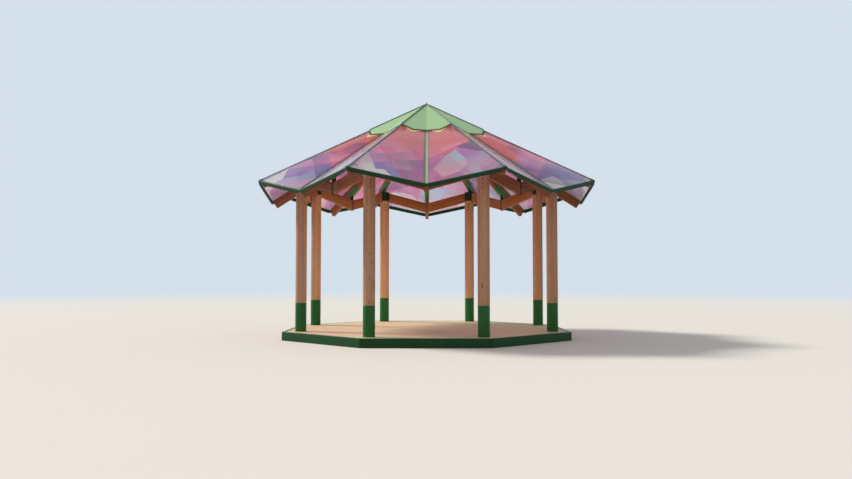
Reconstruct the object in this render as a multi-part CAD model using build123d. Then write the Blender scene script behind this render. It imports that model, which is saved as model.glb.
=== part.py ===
from build123d import *
from math import atan, cos, radians, sin, sqrt, tan
import os

# Bandstand: an open shelter on an octagonal plinth, with a folded roof on V-shaped ring beams.
# Millimetres, +Z up, origin on the ground at the centre, front bay towards -Y.
# Bay 1 is the front bay and post 1 stands at its right. Both are numbered anticlockwise from above.

# Plan
bays = 8
post_circle_radius = 3300.0
eave_overhang = 1055.0

# Plinth and floor
plinth_margin = 462.0
plinth_height = 205.0
rim_width = 110.0
floor_thickness = 45.0

# Posts
post_diameter = 270.0
post_length = 3580.0
foot_height = 689.0
foot_wall = 10.0
foot_base_thickness = 20.0
post_knife_depth = 330.0
post_knife_reach = 95.0

# Steel heads on the posts
head_height = 260.0
head_disc_thickness = 15.0
head_tube_diameter = 219.0
head_tube_wall = 10.0
head_vent_diameter = 60.0
knife_thickness = 12.0
knife_margin = 38.0
beam_knife_reach = 210.0

# Ring beams, two to a bay, that fall from the heads to the middle of the bay
beam_width = 100.0
beam_depth = 264.0
beam_fall = 341.5
beam_end_gap = 3.0

# Plates where the two beams of a bay meet
junction_thickness = 12.0
junction_side_margin = 10.0
junction_drop = 16.0

# Rafters
rafter_width = 96.0
rafter_depth = 200.0
ridge_pitch = 26.8
ridge_stem_height = 79.0
valley_dip = 358.0

# Steel shoes that hold the rafters
shoe_thickness = 8.0
shoe_cheek_height = 150.0
ridge_shoe_inward = 370.0
ridge_shoe_outward = 125.0
ridge_stem_length = 230.0
valley_shoe_inward = 350.0
valley_shoe_outward = 75.0

# Hub at the top of the rafters
hub_apothem = 300.0
hub_wall = 14.0
hub_height = 262.0
hub_drop = 28.0

# Roof sheets and their metal trims
panel_thickness = 10.0
panel_ridge_gap = 6.0
panel_valley_gap = 40.0
panel_top_out = 1250.0
ridge_flashing_leg = 30.0
ridge_flashing_thickness = 4.0
valley_gutter_leg = 68.0
valley_gutter_thickness = 2.5
eave_trim_height = 62.0
eave_trim_thickness = 25.0
ridge_tip_length = 90.0
ridge_tip_leg = 46.0
ridge_tip_thickness = 18.0

# Crown of folded sheet over the top of the roof
crown_ridge_reach = 1548.0
crown_break_out = 1594.0
crown_break_across = 335.0
crown_valley_reach = 1508.0
crown_thickness = 4.0
crown_hole_radius = 18.0
crown_cap_top = 45.0
crown_cap_width = 26.0
crown_cap_height = 22.0
trim_lap = 70.0
leaf_thickness = 3.0
leaf_point_out = 1736.0
leaf_point_across = 345.0
leaf_tail_across = 120.0
leaf_cover = 110.0
finial_height = 62.0
finial_radius = 34.0
finial_plate_thickness = 8.0

# Clearances
seat_gap = 0.3
slot_clearance = 1.0
mitre_gap = 0.5

# Angles, radii and levels that follow
half_bay = radians(180 / bays)
bay_degrees = 360 / bays
plinth_radius = post_circle_radius + plinth_margin
chord_out = post_circle_radius * cos(half_bay)
half_chord = post_circle_radius * sin(half_bay)
eave_radius = post_circle_radius + eave_overhang
eave_out = eave_radius * cos(half_bay)
ridge_fall = tan(radians(ridge_pitch))
valley_fall = (ridge_fall * eave_radius + valley_dip) / eave_out
valley_side_rise = (valley_fall * cos(half_bay) - ridge_fall) / sin(half_bay)
ridge_side_fall = valley_fall * sin(half_bay) + valley_side_rise * cos(half_bay)
ridge_slope = atan(ridge_fall)
sheet_stretch = sqrt(1 + valley_fall**2 + valley_side_rise**2)
gutter_drop = valley_gutter_thickness * sheet_stretch
ridge_bearing = panel_thickness * sheet_stretch + seat_gap
valley_bearing = ridge_bearing + gutter_drop + seat_gap
post_top = plinth_height + post_length
head_top = post_top + head_height
ridge_seat_level = head_top + ridge_stem_height
ridge_over_post = ridge_seat_level + rafter_depth / cos(ridge_slope) + ridge_bearing
apex_level = ridge_over_post + ridge_fall * post_circle_radius
beam_post_level = post_top + head_height / 2
beam_slope = beam_fall / half_chord
beam_upright = beam_depth * sqrt(1 + beam_slope**2)
beam_end = half_chord - post_diameter / 2 - beam_end_gap
crown_lift = seat_gap + ridge_flashing_thickness + seat_gap
crown_top_lift = crown_lift + crown_thickness * sheet_stretch


def octagon(radius):
    # Flat octagon with its corners on the lines of the posts
    return RegularPolygon(radius=radius, side_count=bays, rotation=bay_degrees / 2)


def around(solid, half_step=False):
    # One copy for each bay, or for each post with half_step
    start = bay_degrees / 2 if half_step else 0
    return [Rot(0, 0, start + bay_degrees * index) * solid for index in range(bays)]


def roof_level(out, across):
    # Top surface of the roof sheets, out from the axis along a valley and across from the valley
    return apex_level - valley_fall * out + valley_side_rise * abs(across)


def prism(points, thickness):
    # Solid that hangs straight down from a flat outline
    outline = Wire.make_polygon([Vector(*point) for point in points], close=True)
    return Solid.extrude(Face(outline), Vector(0, 0, -thickness))


def roof_sheet(outline, side, lift, thickness):
    # Sheet parallel to the roof in one half of bay 1, with its underside lifted off the surface
    drop = thickness * sheet_stretch
    points = [(side * across, -out, roof_level(out, across) + lift + drop) for out, across in outline]
    return prism(points, drop)


def beside_ridge(radius, leg):
    # Place at a radius on a ridge, moved sideways off it towards the valley
    out = radius * cos(half_bay) + leg * sin(half_bay)
    across = radius * sin(half_bay) - leg * cos(half_bay)
    return out, across


def over_ridge(outline, lift, thickness):
    # Folded strip on the ridge between bays 1 and 2
    left = roof_sheet(outline, 1, lift, thickness)
    right = Rot(0, 0, bay_degrees) * roof_sheet(outline, -1, lift, thickness)
    return left + right


def upright_plate(points, thickness, plane):
    # Plate of even thickness centred on an upright plane
    face = make_face(Polyline(*points, close=True))
    return extrude(plane * face, amount=thickness / 2, both=True)


def slope_bar(section, fall, outer_radius, inner_radius):
    # Bar below a roof line over -Y. The section is given across and up from that line.
    slope = atan(fall)
    start = (0, -outer_radius, apex_level - fall * outer_radius)
    inward = Vector(0, cos(slope), sin(slope))
    plane = Plane(origin=start, x_dir=(1, 0, 0), z_dir=inward)
    face = make_face(Polyline(*[(across, -up) for across, up in section], close=True))
    length = (outer_radius - inner_radius) / cos(slope)
    return extrude(plane * face, amount=length, dir=inward)


def rafter(fall, side_rise, bearing, outer_radius):
    # Timber with its top planed to what lies on it and a plumb cut at the hub
    slope = atan(fall)
    top = -bearing * cos(slope)
    edge = top + side_rise * cos(slope) * rafter_width / 2
    bottom = top - rafter_depth
    half = rafter_width / 2
    section = [(0, top), (half, edge), (half, bottom), (-half, bottom), (-half, edge)]
    bar = slope_bar(section, fall, outer_radius, hub_apothem / 2)
    hub_face = Plane(origin=(0, -hub_apothem - seat_gap, 0), z_dir=(0, -1, 0))
    return split(bar, bisect_by=hub_face, keep=Keep.TOP)


def shoe_seat(fall, bearing):
    # Depth below a roof line of the inner face of a shoe's base
    return bearing * cos(atan(fall)) + rafter_depth + seat_gap


def shoe_underside(fall, bearing, radius):
    # Level of the underside of a shoe at a radius
    depth = (shoe_seat(fall, bearing) + shoe_thickness) / cos(atan(fall))
    return apex_level - fall * radius - depth


def shoe(fall, bearing, centre_radius, outward, inward):
    # Channel of steel plate that a rafter lies in
    seat = -shoe_seat(fall, bearing)
    base = seat - shoe_thickness
    inner = rafter_width / 2 + seat_gap
    outer = inner + shoe_thickness
    lip = seat + shoe_cheek_height
    section = [
        (outer, lip), (outer, base), (-outer, base), (-outer, lip),
        (-inner, lip), (-inner, seat), (inner, seat), (inner, lip),
    ]
    shift = -seat * sin(atan(fall))
    return slope_bar(section, fall, centre_radius + outward + shift, centre_radius - inward + shift)


chord_plane = Plane.XZ.offset(chord_out)
radial_plane = Plane.YZ


def beam_middle(along):
    # Level of a ring beam's centre line, along from the middle of the bay
    return beam_post_level - beam_fall + beam_slope * along


def beam_band(start, end, margin):
    # Outline within a ring beam, inset from its top and bottom
    reach = beam_upright / 2 - margin
    return [
        (start, beam_middle(start) - reach), (end, beam_middle(end) - reach),
        (end, beam_middle(end) + reach), (start, beam_middle(start) + reach),
    ]


def mirrored(points, side):
    return [(side * along, level) for along, level in points]


# Plinth
def make_plinth_rim():
    inner = plinth_radius - rim_width / cos(half_bay)
    return extrude(octagon(plinth_radius) - octagon(inner), plinth_height)


def make_plinth_core():
    inner = plinth_radius - rim_width / cos(half_bay)
    return extrude(octagon(inner), plinth_height - floor_thickness)


def make_stage_floor():
    inner = plinth_radius - rim_width / cos(half_bay)
    return Pos(0, 0, plinth_height - floor_thickness) * extrude(octagon(inner), floor_thickness)


# Posts
def make_post_foot():
    radius = post_diameter / 2
    base = Cylinder(radius, foot_base_thickness, align=(Align.CENTER, Align.CENTER, Align.MIN))
    wall = Cylinder(radius, foot_height, align=(Align.CENTER, Align.CENTER, Align.MIN))
    bore = Cylinder(radius - foot_wall, foot_height, align=(Align.CENTER, Align.CENTER, Align.MIN))
    return Pos(0, -post_circle_radius, plinth_height) * (base + (wall - bore))


def post_slot(side):
    # Slot in the top of a post for the plate that goes down from its head
    low = post_top - post_knife_depth - slot_clearance
    start = half_chord - post_knife_reach - slot_clearance
    points = [(start, low), (half_chord, low), (half_chord, post_top + 1), (start, post_top + 1)]
    plate = upright_plate(mirrored(points, side), knife_thickness + 2 * slot_clearance, chord_plane)
    return Rot(0, 0, -side * bay_degrees / 2) * plate


def make_post():
    foot_top = plinth_height + foot_height
    tenon_base = plinth_height + foot_base_thickness
    shaft = Cylinder(post_diameter / 2, post_top - foot_top, align=(Align.CENTER, Align.CENTER, Align.MIN))
    tenon = Cylinder(
        post_diameter / 2 - foot_wall - slot_clearance,
        foot_top - tenon_base,
        align=(Align.CENTER, Align.CENTER, Align.MIN),
    )
    place = Pos(0, -post_circle_radius, 0)
    post = place * (Pos(0, 0, foot_top) * shaft + Pos(0, 0, tenon_base) * tenon)
    return post - post_slot(1) - post_slot(-1)


# Heads of the posts
def head_knife(side):
    # Plate in the plane of a bay, down into the post and out into the ring beam
    tip = beam_end - beam_knife_reach
    reach = beam_upright / 2 - knife_margin
    bottom = post_top + head_disc_thickness
    top = head_top - head_disc_thickness
    to_beam = [
        (tip, beam_middle(tip) - reach), (beam_end, beam_middle(beam_end) - reach),
        (beam_end, bottom), (half_chord, bottom), (half_chord, top), (beam_end, top),
        (beam_end, beam_middle(beam_end) + reach), (tip, beam_middle(tip) + reach),
    ]
    low = post_top - post_knife_depth
    start = half_chord - post_knife_reach
    to_post = [(start, low), (half_chord, low), (half_chord, beam_post_level), (start, beam_post_level)]
    upper = upright_plate(mirrored(to_beam, side), knife_thickness, chord_plane)
    lower = upright_plate(mirrored(to_post, side), knife_thickness, chord_plane)
    return Rot(0, 0, -side * bay_degrees / 2) * (upper + lower)


def make_post_head():
    low = (Align.CENTER, Align.CENTER, Align.MIN)
    disc = Cylinder(post_diameter / 2, head_disc_thickness, align=low)
    vent = Cylinder(head_vent_diameter / 2, head_disc_thickness, align=low)
    tube = Cylinder(head_tube_diameter / 2, head_height, align=low)
    bore = Cylinder(head_tube_diameter / 2 - head_tube_wall, head_height, align=low)
    top = Pos(0, 0, head_height - head_disc_thickness)
    drum = (tube - bore) + disc + top * (disc - vent)
    head = Pos(0, -post_circle_radius, post_top) * drum
    return head + head_knife(1) + head_knife(-1)


# Ring beams
def make_ring_beam(side):
    start = junction_thickness / 2 + seat_gap
    beam = upright_plate(mirrored(beam_band(start, beam_end, 0), side), beam_width, chord_plane)
    slot_width = knife_thickness + 2 * slot_clearance
    reach = beam_knife_reach + slot_clearance
    inner = mirrored(beam_band(start - 1, start + reach, -1), side)
    outer = mirrored(beam_band(beam_end - reach, beam_end + 1, -1), side)
    beam -= upright_plate(inner, slot_width, chord_plane)
    beam -= upright_plate(outer, slot_width, chord_plane)
    return beam


def make_junction_plate():
    half = beam_width / 2 + junction_side_margin
    low = beam_middle(0) - beam_upright / 2 - junction_drop
    near = chord_out - half
    far = chord_out + half
    points = [
        (-far, low), (-near, low),
        (-near, shoe_underside(valley_fall, valley_bearing, near) - seat_gap),
        (-far, shoe_underside(valley_fall, valley_bearing, far) - seat_gap),
    ]
    plate = upright_plate(points, junction_thickness, radial_plane)
    reach = junction_thickness / 2 + beam_knife_reach
    for side in (1, -1):
        knife = mirrored(beam_band(0, reach, knife_margin), side)
        plate += upright_plate(knife, knife_thickness, chord_plane)
    return plate


# Rafters and their shoes
def make_ridge_rafter():
    outer = (eave_out - eave_trim_thickness - 2 * seat_gap - rafter_width / 2 * sin(half_bay)) / cos(half_bay)
    return rafter(ridge_fall, -ridge_side_fall, ridge_bearing, outer)


def make_valley_rafter():
    return rafter(valley_fall, valley_side_rise, valley_bearing, eave_out - eave_trim_thickness - 2 * seat_gap)


def make_ridge_shoe():
    channel = shoe(ridge_fall, ridge_bearing, post_circle_radius, ridge_shoe_outward, ridge_shoe_inward)
    near = post_circle_radius - ridge_stem_length / 2
    far = post_circle_radius + ridge_stem_length / 2
    points = [
        (-far, head_top), (-near, head_top),
        (-near, shoe_underside(ridge_fall, ridge_bearing, near) + shoe_thickness / 2),
        (-far, shoe_underside(ridge_fall, ridge_bearing, far) + shoe_thickness / 2),
    ]
    return channel + upright_plate(points, knife_thickness, radial_plane)


def make_valley_shoe():
    return shoe(valley_fall, valley_bearing, chord_out, valley_shoe_outward, valley_shoe_inward)


def make_roof_hub():
    # Sixteen-sided drum, one flat to each rafter, with a closed base
    sides = 2 * bays
    turn = 180 / sides
    corner = hub_apothem / cos(radians(turn))
    inner = (hub_apothem - hub_wall) / cos(radians(turn))
    outside = RegularPolygon(radius=corner, side_count=sides, rotation=turn)
    inside = RegularPolygon(radius=inner, side_count=sides, rotation=turn)
    top = apex_level - valley_fall * corner - hub_drop
    drum = extrude(outside, hub_height) - Pos(0, 0, hub_wall) * extrude(inside, hub_height)
    return Pos(0, 0, top - hub_height) * drum


# Roof
def make_roof_panel(side):
    bottom = eave_out - eave_trim_thickness - mitre_gap
    ridge_edge = panel_ridge_gap / cos(half_bay)
    outline = [
        (panel_top_out, panel_valley_gap),
        (bottom, panel_valley_gap),
        (bottom, bottom * tan(half_bay) - ridge_edge),
        (panel_top_out, panel_top_out * tan(half_bay) - ridge_edge),
    ]
    return roof_sheet(outline, side, -panel_thickness * sheet_stretch, panel_thickness)


def make_eave_trim(side):
    # Fascia along one half of a bay's eave, mitred at the ridge and in the valley
    inner = eave_out - eave_trim_thickness
    corners = [
        (eave_out, mitre_gap), (eave_out, eave_out * tan(half_bay) - mitre_gap),
        (inner, inner * tan(half_bay) - mitre_gap), (inner, mitre_gap),
    ]
    points = [(side * across, -out, roof_level(out, across)) for out, across in corners]
    return prism(points, eave_trim_height)


def eave_strip_outline(top, leg):
    # Outline along a ridge down to the corner of the eave, where its end follows the eave
    return [
        beside_ridge(top, 0), beside_ridge(eave_radius, 0),
        beside_ridge(eave_radius - leg * tan(half_bay), leg), beside_ridge(top, leg),
    ]


def make_ridge_flashing():
    outline = eave_strip_outline(crown_ridge_reach - trim_lap, ridge_flashing_leg)
    return over_ridge(outline, seat_gap, ridge_flashing_thickness / sheet_stretch)


def make_ridge_tip():
    # Thicker end of the ridge, over the flashing and the corner of the eave
    outline = eave_strip_outline(eave_radius - ridge_tip_length, ridge_tip_leg)
    return over_ridge(outline, crown_lift, ridge_tip_thickness / sheet_stretch)


def make_valley_gutter():
    # Folded sheet that lies on the valley rafter, under the edges of the roof sheets
    bottom = eave_out - eave_trim_thickness - mitre_gap
    outline = [
        (panel_top_out, 0), (bottom, 0),
        (bottom, valley_gutter_leg), (panel_top_out, valley_gutter_leg),
    ]
    lift = -ridge_bearing - gutter_drop
    left = roof_sheet(outline, -1, lift, valley_gutter_thickness)
    right = roof_sheet(outline, 1, lift, valley_gutter_thickness)
    return left + right


def make_crown_sheet(side):
    # Half of a bay's folded sheet. It meets its other half at the crease in the valley.
    seam = mitre_gap / cos(half_bay)
    corner_out, corner_across = beside_ridge(crown_ridge_reach, 0)
    top_out, top_across = beside_ridge(crown_hole_radius, 0)
    outline = [
        (crown_hole_radius, 0),
        (crown_valley_reach, 0),
        (crown_break_out, crown_break_across),
        (corner_out, corner_across - seam),
        (top_out, top_across - seam),
    ]
    return roof_sheet(outline, side, crown_lift, crown_thickness)


def make_crown_cap():
    # Bar over the seam between two crown sheets
    half = crown_cap_width / 2
    outline = [
        beside_ridge(crown_cap_top, 0), beside_ridge(crown_ridge_reach, 0),
        beside_ridge(crown_ridge_reach, half), beside_ridge(crown_cap_top, half),
    ]
    return over_ridge(outline, crown_top_lift + seat_gap, crown_cap_height / sheet_stretch)


def make_crown_leaf(side):
    # Sheet that shows as a sliver below a fold of the crown's edge
    corner_out, corner_across = beside_ridge(crown_ridge_reach, ridge_flashing_leg + panel_ridge_gap)
    outline = [
        (corner_out - leaf_cover, corner_across - leaf_cover / 2),
        (corner_out, corner_across),
        (leaf_point_out, leaf_point_across),
        (crown_valley_reach, leaf_tail_across),
        (crown_valley_reach - leaf_cover, leaf_tail_across),
    ]
    return roof_sheet(outline, side, seat_gap, leaf_thickness / sheet_stretch)


def make_finial():
    base = apex_level + crown_top_lift + seat_gap - ridge_fall * crown_hole_radius
    low = (Align.CENTER, Align.CENTER, Align.MIN)
    plate = Cylinder(finial_radius, finial_plate_thickness, align=low)
    spike = Cone(finial_radius / 2, finial_radius / 8, finial_height - finial_plate_thickness, align=low)
    return Pos(0, 0, base) * (plate + Pos(0, 0, finial_plate_thickness) * spike)


def save(name, solids):
    export_step(Compound(children=[solid for part in solids for solid in part.solids()]), f"parts/{name}.step")


os.makedirs("parts", exist_ok=True)
save("plinth_rim", [make_plinth_rim()])
save("plinth_core", [make_plinth_core()])
save("stage_floor", [make_stage_floor()])
save("post_feet", around(make_post_foot(), half_step=True))
save("post_heads", around(make_post_head(), half_step=True))
save("junction_plates", around(make_junction_plate()))
save("ridge_rafters", around(make_ridge_rafter(), half_step=True))
save("valley_rafters", around(make_valley_rafter()))
save("ridge_shoes", around(make_ridge_shoe(), half_step=True))
save("valley_shoes", around(make_valley_shoe()))
save("roof_hub", [make_roof_hub()])
save("eave_trims", around(make_eave_trim(1)) + around(make_eave_trim(-1)))
save("ridge_flashings", around(make_ridge_flashing()))
save("ridge_tips", around(make_ridge_tip()))
save("valley_gutters", around(make_valley_gutter()))
save("crown", around(make_crown_sheet(1)) + around(make_crown_sheet(-1)))
save("crown_caps", around(make_crown_cap()))
save("crown_leaves", around(make_crown_leaf(1)) + around(make_crown_leaf(-1)))
save("finial", [make_finial()])

posts = around(make_post(), half_step=True)
left_beams = around(make_ring_beam(-1))
right_beams = around(make_ring_beam(1))
left_panels = around(make_roof_panel(-1))
right_panels = around(make_roof_panel(1))
for index in range(bays):
    save(f"post_{index + 1}", [posts[index]])
    save(f"ring_beams_{index + 1}", [left_beams[index], right_beams[index]])
    save(f"roof_panels_{index + 1}", [left_panels[index], right_panels[index]])
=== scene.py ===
import math
from itertools import product

import bmesh
import bpy
from mathutils import Matrix, Vector


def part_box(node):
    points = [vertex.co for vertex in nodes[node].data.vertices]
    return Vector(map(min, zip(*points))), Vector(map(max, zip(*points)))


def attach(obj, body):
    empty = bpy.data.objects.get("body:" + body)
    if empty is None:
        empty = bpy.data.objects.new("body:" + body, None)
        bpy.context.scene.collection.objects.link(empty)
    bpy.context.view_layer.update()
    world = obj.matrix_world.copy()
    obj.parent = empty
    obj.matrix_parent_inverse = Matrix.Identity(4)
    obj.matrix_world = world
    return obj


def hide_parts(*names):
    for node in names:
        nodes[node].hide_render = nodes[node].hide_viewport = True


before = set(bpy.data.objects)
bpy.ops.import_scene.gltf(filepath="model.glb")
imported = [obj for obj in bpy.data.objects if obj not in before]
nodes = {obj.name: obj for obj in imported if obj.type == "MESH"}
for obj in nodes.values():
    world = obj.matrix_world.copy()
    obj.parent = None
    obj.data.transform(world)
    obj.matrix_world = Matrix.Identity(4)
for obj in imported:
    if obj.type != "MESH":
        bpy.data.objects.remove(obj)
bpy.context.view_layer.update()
scene = bpy.context.scene
print("frame loaded:", len(nodes), "nodes")

# Plan of the bandstand, in metres. Bay 0 faces -Y and post 0 stands at its right.
plan = {
    "bays": 8,
    "postCircle": 3.3,
    "eaveRadius": 4.355,
    "ridgePitch": 26.8,
    "valleyDip": 0.358,
    "sheetTopOut": 1.25,
    "sheetThickness": 0.010,
    "ridgeGap": 0.006,
    "valleyGap": 0.040,
}
bays = range(plan["bays"])
halves = [(bay, side) for bay in bays for side in (-1, 1)]
bayTurn = 2 * math.pi / plan["bays"]
halfBay = bayTurn / 2
postCircle, eaveRadius, sheetTopOut = plan["postCircle"], plan["eaveRadius"], plan["sheetTopOut"]
chordOut = postCircle * math.cos(halfBay)
halfChord = postCircle * math.sin(halfBay)
eaveOut = eaveRadius * math.cos(halfBay)
ridgeFall = math.tan(math.radians(plan["ridgePitch"]))
valleyFall = (ridgeFall * eaveRadius + plan["valleyDip"]) / eaveOut
sideRise = (valleyFall * math.cos(halfBay) - ridgeFall) / math.sin(halfBay)
sideFall = valleyFall * math.sin(halfBay) + sideRise * math.cos(halfBay)
sheetStretch = math.sqrt(1 + valleyFall ** 2 + sideRise ** 2)
ridgeGapAcross = plan["ridgeGap"] / math.cos(halfBay)
sheetTopAcross = sheetTopOut * math.tan(halfBay) - ridgeGapAcross
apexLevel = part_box("roof_panels_1")[1].z + valleyFall * sheetTopOut - sideRise * sheetTopAcross
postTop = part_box("post_1")[1].z
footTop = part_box("post_feet")[1].z
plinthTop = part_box("stage_floor")[1].z


def bayMatrix(bay):
    return Matrix.Rotation(bayTurn * bay, 4, "Z")


def postMatrix(post):
    return Matrix.Rotation(bayTurn * (post + 0.5), 4, "Z")


def roofLevel(out, across):
    return apexLevel - valleyFall * out + sideRise * abs(across)


def sheetNormal(side):
    return Vector((-side * sideRise, -valleyFall, 1)).normalized()


def onSheet(out, across, lift=0.0):
    # point of bay 0 over its sheets, lifted square to them
    return Vector((across, -out, roofLevel(out, across))) + Vector((0, 0, lift * sheetStretch))


def onRidge(radius, aside, lift=0.0):
    # point over the ridge above a post that stands on -Y
    level = apexLevel - ridgeFall * radius - sideFall * abs(aside)
    return Vector((aside, -radius, level + lift * sheetStretch))


def besideRidge(radius, leg):
    # out and across in bay 0 of a point on the ridge, moved off it by leg
    out = radius * math.cos(halfBay) + leg * math.sin(halfBay)
    return out, radius * math.sin(halfBay) - leg * math.cos(halfBay)


def srgb(red, green, blue):
    # linear colour from 0-255 values
    def linear(value):
        value /= 255
        return value / 12.92 if value <= 0.04045 else ((value + 0.055) / 1.055) ** 2.4
    return (linear(red), linear(green), linear(blue), 1)


def shade(colour, share):
    return tuple(part * share for part in colour[:3]) + (1,)


# Node helpers. Nodes go into the tree of the material or world that was started last.
started = {}


class Wire:
    # an output of a node; arithmetic on it adds Math nodes
    def __init__(self, socket):
        self.socket = socket

    def __add__(self, other):
        return maths("ADD", self, other)

    def __sub__(self, other):
        return maths("SUBTRACT", self, other)

    def __rsub__(self, other):
        return maths("SUBTRACT", other, self)

    def __mul__(self, other):
        return maths("MULTIPLY", self, other)

    def __truediv__(self, other):
        return maths("DIVIDE", self, other)

    def __gt__(self, other):
        return maths("GREATER_THAN", self, other)

    def __lt__(self, other):
        return maths("LESS_THAN", self, other)


def startTree(owner):
    owner.use_nodes = True
    owner.node_tree.nodes.clear()
    started["owner"] = owner


def startMaterial(name):
    # gives the object coordinates that the material's textures follow
    startTree(bpy.data.materials.new(name))
    return addNode("TexCoord", out="Object")


def addNode(kind, inputs=None, out=0, **settings):
    # out says which outputs come back, by number or name, alone or in a tuple
    tree = started["owner"].node_tree
    node = tree.nodes.new("ShaderNode" + kind)
    for key, value in settings.items():
        setattr(node, key, value)
    for key, value in (inputs or {}).items():
        if isinstance(value, Wire):
            tree.links.new(value.socket, node.inputs[key])
        else:
            node.inputs[key].default_value = value
    if isinstance(out, tuple):
        return [Wire(node.outputs[pick]) for pick in out]
    return Wire(node.outputs[out])


def finished(shader):
    addNode("OutputMaterial", {"Surface": shader}, out=())
    return started["owner"]


def maths(operation, first, second=0.0, clamp=False):
    return addNode("Math", {0: first, 1: second}, operation=operation, use_clamp=clamp)


def mixed(factor, first, second):
    return addNode("Mix", {0: factor, 6: first, 7: second}, out=2, data_type="RGBA")


def mixShader(factor, first, second):
    return addNode("MixShader", {0: factor, 1: first, 2: second})


def ramp(factor, *stops):
    # stops of (place, grey or colour)
    result = addNode("ValToRGB", {0: factor})
    elements = result.socket.node.color_ramp.elements
    while len(elements) < len(stops):
        elements.new(0.5)
    for element, (place, colour) in zip(elements, stops):
        element.position = place
        element.color = colour if isinstance(colour, tuple) else (colour, colour, colour, 1)
    return result


def spread(value, low, high, start=0.3, end=0.7):
    return addNode("MapRange", {0: value, 1: start, 2: end, 3: low, 4: high})


def noise(vector, scale, detail=3.0, roughness=0.5):
    return addNode("TexNoise", {"Vector": vector, "Scale": scale, "Detail": detail, "Roughness": roughness})


def cells(vector, scale):
    # distance, colour and centre of Voronoi cells
    return addNode("TexVoronoi", {"Vector": vector, "Scale": scale}, out=(0, 1, 2))


def stripeDraw(line, second, third):
    # one random value for each whole step of line
    seed = addNode("CombineXYZ", {0: maths("FLOOR", line), 1: second, 2: third})
    return addNode("TexWhiteNoise", {"Vector": seed})


def scaled(vector, factors):
    return addNode("VectorMath", {0: vector, 1: factors}, operation="MULTIPLY")


def parts(vector):
    return addNode("SeparateXYZ", {0: vector}, out=(0, 1, 2))


def bump(height, strength, distance):
    return addNode("Bump", {"Height": height, "Strength": strength, "Distance": distance})


def surface(colour, rough, normal=None, specular=0.5, metallic=0.0):
    inputs = {"Base Color": colour, "Roughness": rough, "Specular IOR Level": specular, "Metallic": metallic}
    if normal:
        inputs["Normal"] = normal
    return addNode("BsdfPrincipled", inputs)


# Painted steel and sheet metal: two near tones, dust on what faces up, streaks, orange peel
def paintMaterial(name, colour, tone=0.82, roughness=0.38, dust=0.25, specular=0.3):
    place = startMaterial(name)
    dark = shade(colour, tone)
    body = mixed(ramp(noise(place, 1.7, 5.0, 0.6), (0.32, 0.0), (0.68, 1.0)), colour, dark)
    faceUp = parts(addNode("NewGeometry", out="Normal"))[2]
    settled = ramp(faceUp, (0.55, 0.0), (0.98, 1.0)) * dust
    settled = settled * ramp(noise(place, 5.0, 6.0, 0.7), (0.3, 0.35), (0.7, 1.0))
    body = mixed(settled, body, srgb(150, 150, 132))
    streaks = noise(scaled(place, (9.0, 9.0, 0.9)), 2.0, 4.0, 0.6)
    body = mixed(ramp(streaks, (0.52, 0.0), (0.8, 0.3)), body, dark)
    rough = spread(noise(place, 14.0, 4.0, 0.6), roughness - 0.08, roughness + 0.12)
    return finished(surface(body, rough, bump(noise(place, 260.0, 2.0), 0.18, 0.0006), specular))


# Timber follows the piece's own grain attribute (along, aside, up)
timber = {
    "lamination": 0.044, "plank": 3.9, "glueLine": 0.0009, "ring": 0.0075, "pithAside": 0.10,
    "pithUp": (0.05, 0.06), "bend": 0.10, "knotShare": 0.11, "knotTone": 0.42,
}


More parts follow.
